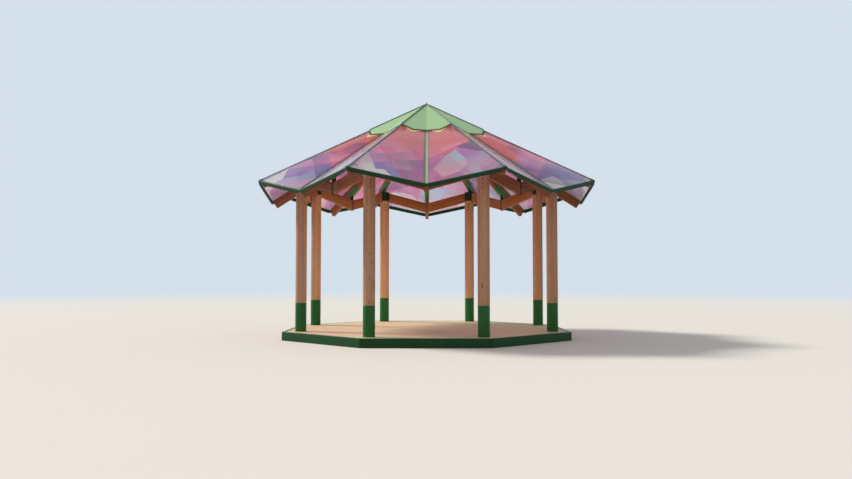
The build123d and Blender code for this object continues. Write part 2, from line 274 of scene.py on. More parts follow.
def timberMaterial(name, pale, middle, dark, weather):
    place = startMaterial(name)
    lamination = timber["lamination"]
    grain = addNode("Attribute", out="Vector", attribute_name="grain")
    along, aside, up = parts(grain)

    def fibres(length, width, detail, roughness=0.5):
        return noise(scaled(grain, (length, width, width)), 1.0, detail, roughness)

    # laminations, each with its own pith and tone
    layer = maths("FLOOR", up / lamination)
    inLayer = up - layer * lamination
    seed = addNode("CombineXYZ", {0: layer, 1: maths("FLOOR", along / timber["plank"]), 2: 4.7})
    chance = parts(addNode("TexWhiteNoise", {"Vector": seed}, out="Color"))
    # growth rings about the pith
    bend = (fibres(1.1, 3.0, 2.0) - 0.5) * timber["bend"]
    fromAside = aside - (chance[0] - 0.5) * timber["pithAside"] + bend
    least, more = timber["pithUp"]
    fromUp = inLayer + (chance[1] * more + least + bend * 0.8)
    squares = maths("POWER", maths("ABSOLUTE", fromAside), 2.0) + maths("POWER", fromUp, 2.0)
    wobble = fibres(1.5, 22.0, 3.0, 0.55)
    ring = maths("FRACT", maths("SQRT", squares) / timber["ring"] + wobble * 1.3)
    fibre = fibres(5.0, 260.0, 4.0, 0.6)
    body = ramp(ring, (0.0, middle), (0.5, pale), (0.82, middle), (0.95, dark), (1.0, middle))
    flat = mixed(ramp(fibres(1.2, 34.0, 4.0, 0.6), (0.3, 0.0), (0.7, 1.0)), pale, middle)
    body = mixed(0.45, body, flat)
    body = mixed(ramp(fibre, (0.42, 0.0), (0.72, 0.45)), body, dark)
    body = addNode("HueSaturation", {
        "Hue": spread(chance[2], 0.493, 0.507, 0.0, 1.0), "Value": spread(chance[1], 0.86, 1.1, 0.0, 1.0),
        "Saturation": spread(chance[0], 0.92, 1.1, 0.0, 1.0), "Color": body,
    })
    # knots, glue lines and drying checks
    knotPlace = scaled(grain, (2.2, 7.5, 7.5))
    knotPlace = addNode("VectorMath", {0: knotPlace, 1: (3.1, 0.7, 0.2)}, operation="ADD")
    knotAway, knotSeed, _ = cells(knotPlace, 1.0)
    present = parts(knotSeed)[0] < timber["knotShare"]
    deep = shade(dark, timber["knotTone"])
    body = mixed(ramp(knotAway, (0.055, 1.0), (0.11, 0.35), (0.2, 0.0)) * present, body, deep)
    glue = maths("ABSOLUTE", inLayer / lamination - 0.5) > 0.5 - timber["glueLine"] / lamination
    body = mixed(glue * 0.55, body, deep)
    check = ramp(maths("ABSOLUTE", fibres(1.6, 48.0, 2.0) - 0.5), (0.0, 1.0), (0.007, 0.0))
    check = check * ramp(fibres(0.9, 6.0, 2.0), (0.54, 0.0), (0.6, 1.0))
    body = mixed(check * 0.65, body, deep)
    age = ramp(noise(place, 0.9, 4.0, 0.6), (0.4, 0.0), (0.75, 1.0))
    body = mixed(age * weather, body, srgb(128, 108, 92))
    relief = bump(fibre * 0.5 + ring * 0.25 - check * 1.4 - glue * 0.5, 0.35, 0.0012)
    return finished(surface(body, spread(fibre, 0.46, 0.66), relief, specular=0.35))


# Roof print: coral at the top, then shards and crossing bands, palest at the eave
printSettings = {
    "slopeStart": 1.5, "slopeLength": 3.6, "seed": 5.0, "spread": 0.44, "bayStep": 7.3,
    "shardStretch": (1.25, 0.95, 1.0), "shardScale": 1.2, "shardShare": 0.78,
    "stops": [
        (0.0, srgb(228, 82, 80)), (0.38, srgb(222, 82, 86)), (0.40, srgb(110, 38, 120)),
        (0.46, srgb(168, 44, 116)), (0.56, srgb(242, 116, 172)), (0.66, srgb(186, 108, 188)),
        (0.75, srgb(132, 128, 206)), (0.83, srgb(184, 198, 224)), (0.89, srgb(232, 232, 234)),
    ],
    # lean, pitch, tone, chance, strength
    "bands": [
        (0.62, 1.7, srgb(242, 156, 204), 0.60, 0.60), (-0.75, 1.4, srgb(90, 44, 132), 0.56, 0.62),
        (2.3, 1.0, srgb(224, 222, 234), 0.74, 0.36), (-2.6, 0.9, srgb(208, 54, 108), 0.68, 0.55),
    ],
    "bandDensity": 1.6, "bandStep": 3.37,
}


def printColour():
    across, slope, bay = parts(addNode("Attribute", out="Vector", attribute_name="sheet"))
    place = addNode("CombineXYZ", {0: across, 1: slope, 2: bay * printSettings["bayStep"]})
    stretch, share = printSettings["shardStretch"], printSettings["shardShare"]
    _, shardSeed, shardCentre = cells(scaled(place, stretch), printSettings["shardScale"])
    blended = parts(shardCentre)[1] / stretch[1] * share + slope * (1 - share)
    level = (blended - printSettings["slopeStart"]) / printSettings["slopeLength"]
    level = level * ((parts(shardSeed)[0] - 0.5) * printSettings["spread"] + 1.0)
    colour = ramp(level, *printSettings["stops"])
    downSlope = (slope - printSettings["slopeStart"]) / printSettings["slopeLength"]
    lower = ramp(downSlope, (0.36, 0.0), (0.42, 1.0))
    for index, (lean, pitch, tone, limit, strength) in enumerate(printSettings["bands"]):
        density = pitch / math.sqrt(1 + lean * lean) * printSettings["bandDensity"]
        line = (across * lean + slope) * density + bay * (printSettings["bandStep"] + index)
        fade = maths("FRACT", line) * 0.6 + 0.4
        mask = (stripeDraw(line, bay, float(index)) > limit) * fade * strength * lower
        colour = mixed(mask, colour, tone)
    cloud = noise(scaled(place, (1.0, 0.6, 1.0)), 1.6, 5.0, 0.55)
    pale = ramp(cloud, (0.5, 0.0), (0.82, 0.22)) * lower
    return mixed(pale, colour, srgb(240, 206, 226))


def glazed(under, roughness, normal=None):
    # clear gloss over a shader, strongest at a low angle, none on back faces
    gloss = surface((0.96, 0.96, 0.95, 1), roughness, normal, metallic=1.0)
    front = 1.0 - addNode("NewGeometry", out="Backfacing")
    return mixShader(addNode("Fresnel", {"IOR": 1.5}) * front, under, gloss)


def seeThrough(face, tint, through, glowShare, clearShare):
    # a face that glows from behind and lets some light straight through
    glow = addNode("BsdfTranslucent", {"Color": tint})
    clear = addNode("BsdfTransparent", {"Color": through})
    return mixShader(clearShare, mixShader(glowShare, face, glow), clear)


def printMaterial():
    place = startMaterial("printedSheet")
    colour = printColour()
    dust = ramp(noise(place, 2.2, 6.0, 0.65), (0.45, 0.0), (0.8, 0.12))
    wave = bump(noise(place, 1.3, 2.0, 0.4), 0.10, 0.01)
    face = surface(mixed(dust, colour, srgb(206, 200, 194)), 0.5, wave, specular=0.0)
    sheet = seeThrough(face, colour, mixed(0.25, colour, (1, 1, 1, 1)), 0.48, 0.15)
    return finished(glazed(sheet, spread(noise(place, 7.0, 5.0, 0.6), 0.12, 0.24), wave))


def backingMaterial():
    # the clear underside and edges of the sheets
    place = startMaterial("sheetBacking")
    tone = mixed(noise(place, 3.0, 5.0, 0.6), srgb(236, 236, 240), srgb(222, 226, 234))
    rough = spread(noise(place, 9.0, 4.0, 0.6), 0.12, 0.28)
    face = surface(tone, rough, specular=0.0)
    return finished(glazed(seeThrough(face, tone, (0.97, 0.97, 0.98, 1), 0.5, 0.76), rough))


def floorMaterial():
    # pale screed with fine aggregate and faint coloured wedges
    place = startMaterial("stageFloor")
    x, y, _ = parts(place)
    patches = ramp(noise(place, 0.8, 5.0, 0.6), (0.35, 0.0), (0.7, 1.0))
    body = mixed(patches, srgb(226, 214, 166), srgb(210, 198, 152))
    # share of x, share of y, pitch, tone
    wedges = [
        (0.35, 0.9, 0.42, srgb(226, 186, 154)), (-0.85, 0.55, 0.36, srgb(206, 206, 146)),
        (0.95, 0.2, 0.30, srgb(234, 210, 126)), (-0.2, -1.0, 0.33, srgb(222, 176, 146)),
    ]
    for index, (toX, toY, pitch, tone) in enumerate(wedges):
        line = x * (toX * pitch) + y * (toY * pitch)
        body = mixed((stripeDraw(line, 3.0 + index, 1.0) > 0.55) * 0.55, body, tone)
    away, seed, _ = cells(place, 190.0)
    speck = parts(seed)
    body = mixed((speck[0] > 0.78) * 0.35, body, srgb(150, 138, 120))
    body = mixed((speck[1] < 0.18) * 0.4, body, srgb(244, 238, 222))
    worn = ramp(noise(place, 2.6, 6.0, 0.7), (0.5, 0.0), (0.8, 0.28))
    body = mixed(worn, body, srgb(164, 150, 128))
    return finished(surface(body, 0.72, bump(away, 0.3, 0.0008)))


def concreteMaterial():
    place = startMaterial("castConcrete")
    body = mixed(noise(place, 3.0, 8.0, 0.7), srgb(168, 163, 154), srgb(136, 131, 124))
    return finished(surface(body, 0.85, bump(cells(place, 60.0)[0], 0.4, 0.001)))


def metalMaterial(name, tone, roughness):
    # zinc or dark steel fasteners
    place = startMaterial(name)
    spangle = noise(place, 70.0, 4.0, 0.6)
    rough = spread(spangle, roughness - 0.08, roughness + 0.12)
    return finished(surface(mixed(spangle, tone, shade(tone, 0.7)), rough, metallic=0.9))


def rubberMaterial():
    place = startMaterial("gasketRubber")
    body = mixed(noise(place, 30.0, 4.0, 0.6), srgb(26, 32, 30), srgb(44, 52, 48))
    return finished(surface(body, 0.7, bump(noise(place, 300.0), 0.2, 0.0004)))


postTones = (srgb(230, 186, 148), srgb(212, 160, 122), srgb(166, 110, 78))
# beam and rafter timber: the posts' wood, its tones darker to paint the shade under the roof
shadedBeamTones = (srgb(188, 130, 90), srgb(164, 100, 66), srgb(116, 66, 41))
finishes = {
    "plinthGreen": paintMaterial("plinthGreen", srgb(25, 76, 36), roughness=0.46, dust=0.3, specular=0.2),
    "footGreen": paintMaterial("footGreen", srgb(32, 106, 42), roughness=0.36),
    "darkGreen": paintMaterial("darkGreenSteel", srgb(20, 54, 34), roughness=0.36),
    "shoeGreen": paintMaterial("shoeGreenSteel", srgb(78, 146, 80), roughness=0.36),
    "trimGreen": paintMaterial("trimGreen", srgb(26, 72, 38), roughness=0.40, specular=0.2),
    "paleGreen": paintMaterial("paleGreenSheet", srgb(164, 206, 148), 0.9, 0.36, 0.12),
    "valleyGreen": paintMaterial("valleyGreenSheet", srgb(164, 192, 152), 0.88, 0.34, 0.15),
    "ridgeGreen": paintMaterial("ridgeGreen", srgb(38, 58, 46), 0.85, 0.28, 0.10, specular=0.6),
    "yellow": paintMaterial("yellowSheet", srgb(238, 204, 122), 0.92, 0.4, 0.1),
    "postTimber": timberMaterial("postTimber", *postTones, weather=0.10),
    "shadedBeamTimber": timberMaterial("shadedBeamTimber", *shadedBeamTones, weather=0.08),
    "print": printMaterial(),
    "backing": backingMaterial(),
    "floor": floorMaterial(),
    "concrete": concreteMaterial(),
    "zinc": metalMaterial("zincFastener", (0.52, 0.54, 0.55, 1), 0.38),
    "darkBolt": metalMaterial("darkBolt", (0.10, 0.11, 0.11, 1), 0.45),
    "rubber": rubberMaterial(),
}
print("finishes made:", len(finishes))


# Mesh helpers
sides = {
    "hole": 24, "washer": 24, "hexagon": 6, "sleeve": 64, "pin": 16, "smallWasher": 20, "screw": 10,
    "finial": 40,
}
dressing = {"weld": 0.00001, "flatAngle": 1, "edgeAngle": 24, "smoothAngle": 32}


def pick(settings, *keys):
    return [settings[key] for key in keys]


def linked(name, data):
    thing = bpy.data.objects.new(name, data)
    scene.collection.objects.link(thing)
    return thing


def meshFrom(name, build):
    # build is a bmesh, which this frees
    bmesh.ops.recalc_face_normals(build, faces=build.faces)
    mesh = bpy.data.meshes.new(name)
    build.to_mesh(mesh)
    build.free()
    return mesh


def addPiece(name, build, materials, replaced=(), degrees=dressing["smoothAngle"]):
    # edges sharper than degrees stay sharp
    mesh = meshFrom(name, build)
    for material in materials:
        mesh.materials.append(finishes[material])
    mesh.polygons.foreach_set("use_smooth", [True] * len(mesh.polygons))
    mesh.set_sharp_from_angle(angle=math.radians(degrees))
    piece = linked(name, mesh)
    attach(piece, "root")
    if replaced:
        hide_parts(*replaced)


def addRings(build, rings, looped=False):
    # skin over closed rings of points; looped joins the last ring to the first, else both ends are capped
    made = [[build.verts.new(point) for point in ring] for ring in rings]
    pairs = list(zip(made, made[1:]))
    if looped:
        pairs.append((made[-1], made[0]))
    for low, high in pairs:
        for index in range(len(low)):
            after = (index + 1) % len(low)
            build.faces.new((low[index], low[after], high[after], high[index]))
    if not looped:
        build.faces.new(list(reversed(made[0])))
        build.faces.new(made[-1])


def circle(matrix, radius, height, segments):
    ring = []
    for step in range(segments):
        angle = 2 * math.pi * step / segments
        ring.append(matrix @ Vector((radius * math.cos(angle), radius * math.sin(angle), height)))
    return ring


def addLathe(build, matrix, profile, segments):
    # profile of (radius, height) about the matrix's Z
    addRings(build, [circle(matrix, radius, height, segments) for radius, height in profile])


def facing(position, direction, spin=0.0):
    turn = direction.to_track_quat("Z", "Y").to_matrix().to_4x4()
    return Matrix.Translation(position) @ turn @ Matrix.Rotation(spin, 4, "Z")


def dressedMesh(nodeName, bevelWidth, segments=2, bevelAngle=dressing["edgeAngle"]):
    # the node's own shape with its edges broken
    build = bmesh.new()
    build.from_mesh(nodes[nodeName].data)
    bmesh.ops.remove_doubles(build, verts=build.verts, dist=dressing["weld"])
    flat = math.radians(dressing["flatAngle"])
    bmesh.ops.dissolve_limit(build, angle_limit=flat, verts=build.verts, edges=build.edges)
    limit = math.radians(bevelAngle)
    edges = [edge for edge in build.edges if len(edge.link_faces) == 2 and edge.calc_face_angle() > limit]
    bmesh.ops.bevel(
        build, geom=edges, offset=bevelWidth, offset_type="OFFSET", segments=segments,
        profile=0.5, affect="EDGES", clamp_overlap=True,
    )
    return build


def islandsOf(build):
    # lists of vertices that hang together
    seen = set()
    islands = []
    for vert in build.verts:
        if vert in seen:
            continue
        seen.add(vert)
        stack, island = [vert], []
        while stack:
            current = stack.pop()
            island.append(current)
            for edge in current.link_edges:
                other = edge.other_vert(current)
                if other not in seen:
                    seen.add(other)
                    stack.append(other)
        islands.append(island)
    return islands


# The grain's shift from stick to stick, and the middle of a lamination
grainLay = {"step": 4.0, "start": 0.37, "middle": timber["lamination"] / 2, "postStart": 40}


def layGrain(build, seed):
    # each stick gets its own along, aside and up for the timber finish
    layer = build.verts.layers.float_vector.new("grain")
    for index, island in enumerate(islandsOf(build)):
        edges = [edge for vert in island for edge in vert.link_edges]
        longest = max(edges, key=lambda edge: edge.calc_length())
        along = (longest.verts[1].co - longest.verts[0].co).normalized()
        aside = along.cross(Vector((0, 0, 1))).normalized()
        up = aside.cross(along)
        middle = sum((vert.co for vert in island), Vector()) / len(island)
        shift = grainLay["step"] * (seed + index) + grainLay["start"]
        for vert in island:
            offset = vert.co - middle
            height = offset.dot(up) + grainLay["middle"]
            vert[layer] = Vector((offset.dot(along) + shift, offset.dot(aside), height))
    return build


def addDressed(name, node, finish, bevel, segments=2, angle=dressing["edgeAngle"], grain=None):
    build = dressedMesh(node, bevel, segments, angle)
    if grain is not None:
        layGrain(build, grain)
    addPiece(name, build, [finish], [node])


# Plinth: eight edge lengths with mitred seams and a rounded top
rim = {"radius": 3.762, "width": 0.110, "height": plinthTop, "round": 0.008, "seam": 0.0012, "foot": 0.012}


def rimProfile():
    # depth in from the outer face, level
    width, top, bend = rim["width"], rim["height"], rim["round"]
    turns = [math.radians(30 * step) for step in range(4)]
    points = [(0, 0), (0, rim["foot"])]
    points += [(bend - bend * math.cos(turn), top - bend + bend * math.sin(turn)) for turn in turns]
    points += [(width - bend + bend * math.sin(turn), top - bend + bend * math.cos(turn)) for turn in turns]
    return points + [(width, 0)]


build = bmesh.new()
rimOut = rim["radius"] * math.cos(halfBay)
for bay in bays:
    rings = [[], []]
    for depth, level in rimProfile():
        out = rimOut - depth
        across = out * math.tan(halfBay) - rim["seam"]
        for ring, side in zip(rings, (-1, 1)):
            ring.append(bayMatrix(bay) @ Vector((side * across, -out, level)))
    addRings(build, rings)
addPiece("plinthEdge", build, ["plinthGreen"], ["plinth_rim"])
for nodeName, finish in (("stage_floor", "floor"), ("plinth_core", "concrete")):
    nodes[nodeName].data.materials.clear()
    nodes[nodeName].data.materials.append(finishes[finish])
print("plinth done")

# Posts: turned timber with counterbored bolt holes near the top
post = {
    "radius": 0.135, "tenon": 0.124, "segments": 96, "chamfer": 0.006, "tenonChamfer": 0.003, "step": 0.12,
    "seat": (0.0004, 0.0006), "spin": (0.5, 1.1),
}
hole = {"levels": (3.670, 3.587, 3.501), "aside": 0.025, "radius": 0.017, "depth": 0.024, "cutter": 0.05}


def postStand(number):
    return postMatrix(number) @ Matrix.Translation((0, -postCircle, 0))


def postHoles(number):
    # place and outward direction of each bolt of a post, on the surface
    turn = postMatrix(number)
    reach = math.sqrt(post["radius"] ** 2 - hole["aside"] ** 2)
    spots = []
    for side in (-1, 1):
        outward = Vector((side * math.sin(halfBay), -math.cos(halfBay), 0))
        toBay = Vector((side * math.cos(halfBay), math.sin(halfBay), 0))
        for level in hole["levels"]:
            middle = Vector((0, -postCircle, level)) + toBay * hole["aside"]
            for face in (-1, 1):
                direction = outward * face
                spots.append((turn @ (middle + direction * reach), turn.to_3x3() @ direction))
    return spots


def postProfile():
    # radius, level
    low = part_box("post_1")[0].z
    radius, tenon, chamfer, small = pick(post, "radius", "tenon", "chamfer", "tenonChamfer")
    under, over = post["seat"]
    profile = [(tenon - small, low), (tenon, low + small), (tenon, footTop + under)]
    profile += [(radius - chamfer, footTop + over), (radius, footTop + chamfer)]
    rows = int((postTop - footTop) / post["step"])
    profile += [(radius, footTop + (postTop - footTop) * row / rows) for row in range(1, rows)]
    return profile + [(radius, postTop - chamfer), (radius - chamfer, postTop)]


def turnedPost(number):
    stand = postStand(number)
    build, cutBuild = bmesh.new(), bmesh.new()
    addLathe(build, stand, postProfile(), post["segments"])
    for spot, direction in postHoles(number):
        seat = facing(spot - direction * hole["depth"], direction)
        addLathe(cutBuild, seat, [(hole["radius"], 0), (hole["radius"], hole["cutter"])], sides["hole"])
    shaft = linked("timberPost", meshFrom("timberPost", build))
    cutter = linked("holeCutter", meshFrom("holeCutter", cutBuild))
    modifier = shaft.modifiers.new("holes", "BOOLEAN")
    modifier.operation = "DIFFERENCE"
    modifier.object = cutter
    modifier.solver = "EXACT"
    graph = bpy.context.evaluated_depsgraph_get()
    build = bmesh.new()
    build.from_mesh(bpy.data.meshes.new_from_object(shaft.evaluated_get(graph)))
    for thing in (shaft, cutter):
        bpy.data.objects.remove(thing)
    layer = build.verts.layers.float_vector.new("grain")
    inverse = stand.inverted()
    first, more = post["spin"]
    spin = Matrix.Rotation(first + more * number, 3, "Z")
    for vert in build.verts:
        local = inverse @ vert.co
        flat = spin @ Vector((local.x, local.y, 0))
        along = local.z + grainLay["step"] * (number + grainLay["postStart"])
        vert[layer] = Vector((along, flat.x, flat.y + grainLay["middle"]))
    return build


for number in bays:
    name = f"timberPost_{number + 1}"
    addPiece(name, turnedPost(number), ["postTimber"], [f"post_{number + 1}"])
print("posts done")

bolt = {"washer": 0.0145, "washerTop": 0.003, "hexagon": 0.0125, "hexagonTop": 0.013, "sunk": 0.0005}
washer, washerTop, hexagon, hexagonTop = pick(bolt, "washer", "washerTop", "hexagon", "hexagonTop")
washerProfile = [(washer, 0), (washer, washerTop - 0.0005), (washer * 0.97, washerTop)]
hexagonProfile = [(hexagon, washerTop), (hexagon, hexagonTop - 0.0015), (hexagon * 0.86, hexagonTop)]
build = bmesh.new()
for number in bays:
    for spot, direction in postHoles(number):
        seat = facing(spot - direction * (hole["depth"] - bolt["sunk"]), direction)
        addLathe(build, seat, washerProfile, sides["washer"])
        addLathe(build, seat, hexagonProfile, sides["hexagon"])
addPiece("postBolts", build, ["darkBolt"])

# Green feet, heads and welds
addDressed("postFeet", "post_feet", "footGreen", 0.002, 3, 40)
addDressed("postHeads", "post_heads", "darkGreen", 0.0015, 2, 40)
head = {"sleeve": 0.131, "wall": 0.004, "disc": 0.015, "height": 0.260}
bead = {
    "steps": 72, "sides": 6, "head": 0.0035, "headLift": 0.002, "foot": 0.005, "footLift": 0.001,
    "lumps": (0.16, 2.3, 0.08, 5.1),
}


def addBead(build, matrix, radius, thickness):
    # weld bead round a tube, a little lumpy
    big, bigRate, small, smallRate = bead["lumps"]
    rings = []
    for step in range(bead["steps"]):
        angle = 2 * math.pi * step / bead["steps"]
        size = thickness * (1 + big * math.sin(step * bigRate) + small * math.sin(step * smallRate))
        ring = []
        for part in range(bead["sides"]):
            turn = 2 * math.pi * part / bead["sides"]
            reach = radius + size * math.cos(turn)
            point = Vector((reach * math.cos(angle), reach * math.sin(angle), size * math.sin(turn)))
            ring.append(matrix @ point)
        rings.append(ring)
    addRings(build, rings, looped=True)


headBuild, sleeveBuild, footBuild = bmesh.new(), bmesh.new(), bmesh.new()
low, high = head["disc"], head["height"] - head["disc"]
outer, inner = head["sleeve"], head["sleeve"] - head["wall"]
for number in bays:
    stand = postStand(number)
    for level in (low + bead["headLift"], high - bead["headLift"]):
        addBead(headBuild, stand @ Matrix.Translation((0, 0, postTop + level)), outer, bead["head"])
    profile = [(inner, low), (outer, low), (outer, high), (inner, high)]
    rings = [circle(stand, radius, postTop + level, sides["sleeve"]) for radius, level in profile]
    addRings(sleeveBuild, rings, looped=True)
    foot = stand @ Matrix.Translation((0, 0, plinthTop + bead["footLift"]))
    addBead(footBuild, foot, post["radius"], bead["foot"])
addPiece("headSleeves", sleeveBuild, ["darkGreen"])
addPiece("headWelds", headBuild, ["darkGreen"])
addPiece("footWelds", footBuild, ["footGreen"])
print("feet and heads done")

# Ring beams, rafters and their steel; the beams' timber is darker than the posts' as painted shade under the
# roof
for bay in bays:
    name, nodeName = f"ringBeams_{bay + 1}", f"ring_beams_{bay + 1}"
    addDressed(name, nodeName, "shadedBeamTimber", 0.004, 3, grain=2 * bay)
addDressed("ridgeRafters", "ridge_rafters", "shadedBeamTimber", 0.004, 3, grain=20)
addDressed("valleyRafters", "valley_rafters", "shadedBeamTimber", 0.004, 3, grain=30)
addDressed("junctionPlates", "junction_plates", "darkGreen", 0.0015)
addDressed("ridgeShoes", "ridge_shoes", "shoeGreen", 0.0015)
addDressed("valleyShoes", "valley_shoes", "shoeGreen", 0.0015)
addDressed("roofHub", "roof_hub", "darkGreen", 0.002, 2, 15)
print("frame timbers done")

# Steel pins in the ring beams' ends
pins = {
    "radius": 0.008, "sunk": 0.004, "proud": 0.0012, "chamfer": 0.0008,
    "rows": (-0.066, 0.0, 0.066), "columns": (0.055, 0.14), "plateGap": 0.006,
}
beam = {"half": 0.05, "dip": 0.3415, "overPost": 0.130, "postGap": 0.003}
beamEnd = halfChord - post["radius"] - beam["postGap"]
thick, pinTop = pins["radius"], pins["sunk"] + pins["proud"]
pinProfile = [(thick, 0), (thick, pinTop - pins["chamfer"]), (thick * 0.85, pinTop)]
alongs = [along for column in pins["columns"] for along in (beamEnd - column, pins["plateGap"] + column)]
build = bmesh.new()
for bay, side in halves:
    turn = bayMatrix(bay)
    for along, row, face in product(alongs, pins["rows"], (-1, 1)):
        level = postTop + beam["overPost"] - beam["dip"] + beam["dip"] / halfChord * along + row
        spot = Vector((side * along, -chordOut + face * (beam["half"] - pins["sunk"]), level))
        seat = facing(turn @ spot, turn.to_3x3() @ Vector((0, face, 0)))
        addLathe(build, seat, pinProfile, sides["pin"])
addPiece("beamPins", build, ["zinc"])

# Bolts through the shoes' cheeks
shoes = {
    "size": 0.0115, "lift": 0.085, "half": 0.0563, "depth": 0.200, "play": 0.0003, "spin": 9,
    "ridge": (0.09, 0.19, 0.29, -0.05), "valley": (0.09, 0.19, 0.28),
}


def addBolt(build, position, direction, size, spin):
    # washer and chamfered hexagon head, size across corners
    seat = facing(position, direction, spin)
    washer = [(size * 1.15, -0.001), (size * 1.15, 0.002), (size * 1.1, 0.0026)]
    hexagon = [(size, 0.002), (size, size * 0.62), (size * 0.84, size * 0.72)]
    addLathe(build, seat, washer, sides["smallWasher"])
    addLathe(build, seat, hexagon, sides["hexagon"])


def shoeBolts(build, matrix, fall, centre, offsets):
    slope = math.atan(fall)
    inward = Vector((0, math.cos(slope), math.sin(slope)))
    upward = Vector((0, -math.sin(slope), math.cos(slope)))
    bearing = plan["sheetThickness"] * sheetStretch + shoes["play"]
    depth = bearing * math.cos(slope) + shoes["depth"]
    start = Vector((0, -centre, apexLevel - fall * centre)) - upward * depth
    start += inward * (-depth * math.sin(slope))
    for offset, face in product(offsets, (-1, 1)):
        spot = start + inward * offset + upward * shoes["lift"] + Vector((face * shoes["half"], 0, 0))
        direction = matrix.to_3x3() @ Vector((face, 0, 0))
        addBolt(build, matrix @ spot, direction, shoes["size"], offset * shoes["spin"])


build = bmesh.new()
for number in bays:
    shoeBolts(build, postMatrix(number), ridgeFall, postCircle, shoes["ridge"])
    shoeBolts(build, bayMatrix(number), valleyFall, chordOut, shoes["valley"])
addPiece("shoeBolts", build, ["zinc"])
print("bolts done")

# Roof sheets, two to a bay: printed top face over a clear backing
sheets = {"edge": 0.0015, "bottom": eaveOut - 0.0255, "sharpAngle": 0.5, "topTilt": 0.6, "topArea": 0.5}
bottom = sheets["bottom"]
outline = [
    (sheetTopOut, plan["valleyGap"]), (bottom, plan["valleyGap"]),
    (bottom, bottom * math.tan(halfBay) - ridgeGapAcross), (sheetTopOut, sheetTopAcross),
]
slopeStretch = math.sqrt(1 + valleyFall ** 2)
for bay in bays:
    build = bmesh.new()
    layer = build.verts.layers.float_vector.new("sheet")
    for side in (-1, 1):
        upper = [onSheet(out, side * across) for out, across in outline]
        lower = [point - Vector((0, 0, plan["sheetThickness"] * sheetStretch)) for point in upper]
        addRings(build, [lower, upper])
    bmesh.ops.recalc_face_normals(build, faces=build.faces)
    sharp = [edge for edge in build.edges if edge.calc_face_angle() > sheets["sharpAngle"]]
    bmesh.ops.bevel(build, geom=sharp, offset=sheets["edge"], segments=2, profile=0.5, affect="EDGES")
    build.normal_update()
    for face in build.faces:
        top = face.normal.z > sheets["topTilt"] and face.calc_area() > sheets["topArea"]
        face.material_index = 0 if top else 1
    for vert in build.verts:
        vert[layer] = Vector((vert.co.x, -vert.co.y * slopeStretch, bay + printSettings["seed"]))
    build.transform(bayMatrix(bay))
    name, nodeName = f"roofSheets_{bay + 1}", f"roof_panels_{bay + 1}"
    addPiece(name, build, ["print", "backing"], [nodeName])
print("roof sheets done")


# Folded metal along ridges and valleys; a profile is (aside, lift) round the strip
def ridgeStrip(build, profile, low, high, mitred=True):
    # the low end follows the eave when mitred
    for number in bays:
        rings = []
        for radius, cut in ((high, 0), (low, math.tan(halfBay) if mitred else 0)):
            points = [onRidge(radius - abs(aside) * cut, aside, lift) for aside, lift in profile]
            rings.append([postMatrix(number) @ point for point in points])
        addRings(build, rings)


def valleyStrip(build, profile, high, low):
    for bay in bays:
        rings = []
        for out in (high, low):
            rings.append([bayMatrix(bay) @ onSheet(out, aside, lift) for aside, lift in profile])
        addRings(build, rings)


ridge = {
    "leg": 0.030, "low": 0.0003, "high": 0.0036, "fold": 0.004, "nick": 0.001, "dip": 0.0005,
    "top": 1.478, "back": 0.0002,
}
leg, low, high, fold, nick = pick(ridge, "leg", "low", "high", "fold", "nick")
flat = [(-leg, low), (-leg, high - nick), (-leg + nick, high), (-fold, high), (0, high - ridge["dip"])]
flat += [(fold, high), (leg - nick, high), (leg, high - nick), (leg, low), (0, low)]
build = bmesh.new()
ridgeStrip(build, flat, eaveRadius - ridge["back"], ridge["top"])
addPiece("ridgeCovers", build, ["ridgeGreen"], ["ridge_flashings"])

tip = {"leg": 0.046, "low": 0.0039, "high": 0.0187, "bend": 0.004, "length": 0.090, "back": 0.0005}
leg, low, high, bend = pick(tip, "leg", "low", "high", "bend")
cap = [(-leg, low), (-leg, high - bend), (-leg + bend * 0.3, high - bend * 0.3), (-leg + bend, high)]
cap += [(-aside, lift) for aside, lift in reversed(cap)] + [(0, low)]
build = bmesh.new()
ridgeStrip(build, cap, eaveRadius - tip["back"], eaveRadius - tip["length"])
addPiece("ridgeTips", build, ["trimGreen"], ["ridge_tips"])

# Valley gutters: folded sheet under the edges of the roof sheets
valley = {
    "leg": 0.066, "top": -0.01025, "thickness": 0.0025, "crease": 0.003, "rise": 0.0004,
    "start": sheetTopOut + 0.001, "end": eaveOut - 0.026,
}
leg, top, crease = pick(valley, "leg", "top", "crease")
under = top - valley["thickness"]
profile = [(-leg, under), (-leg, top), (-crease, top), (0, top + valley["rise"])]
profile += [(crease, top), (leg, top), (leg, under), (0, under)]
build = bmesh.new()
valleyStrip(build, profile, valley["start"], valley["end"])
addPiece("valleyGutters", build, ["valleyGreen"], ["valley_gutters"])

# Rubber profiles on the sheets' valley edges; their dark rubber also paints the shade on the sheet edges
# along the valleys
gasketAndShade = {
    "inner": 0.0385, "body": 0.0402, "outer": 0.0425, "top": 0.0018, "lip": 0.0002, "under": -0.0102,
    "end": sheets["bottom"] - 0.001,
}
top, lip, under = pick(gasketAndShade, "top", "lip", "under")
build = bmesh.new()
for side in (-1, 1):
    inner, body, outer = (side * value for value in pick(gasketAndShade, "inner", "body", "outer"))
    profile = [(inner, under), (inner, top), (outer, top * 0.8), (outer, lip), (body, lip), (body, under)]
    valleyStrip(build, profile, valley["start"], gasketAndShade["end"])
addPiece("valleyGasketsAndShade", build, ["rubber"])

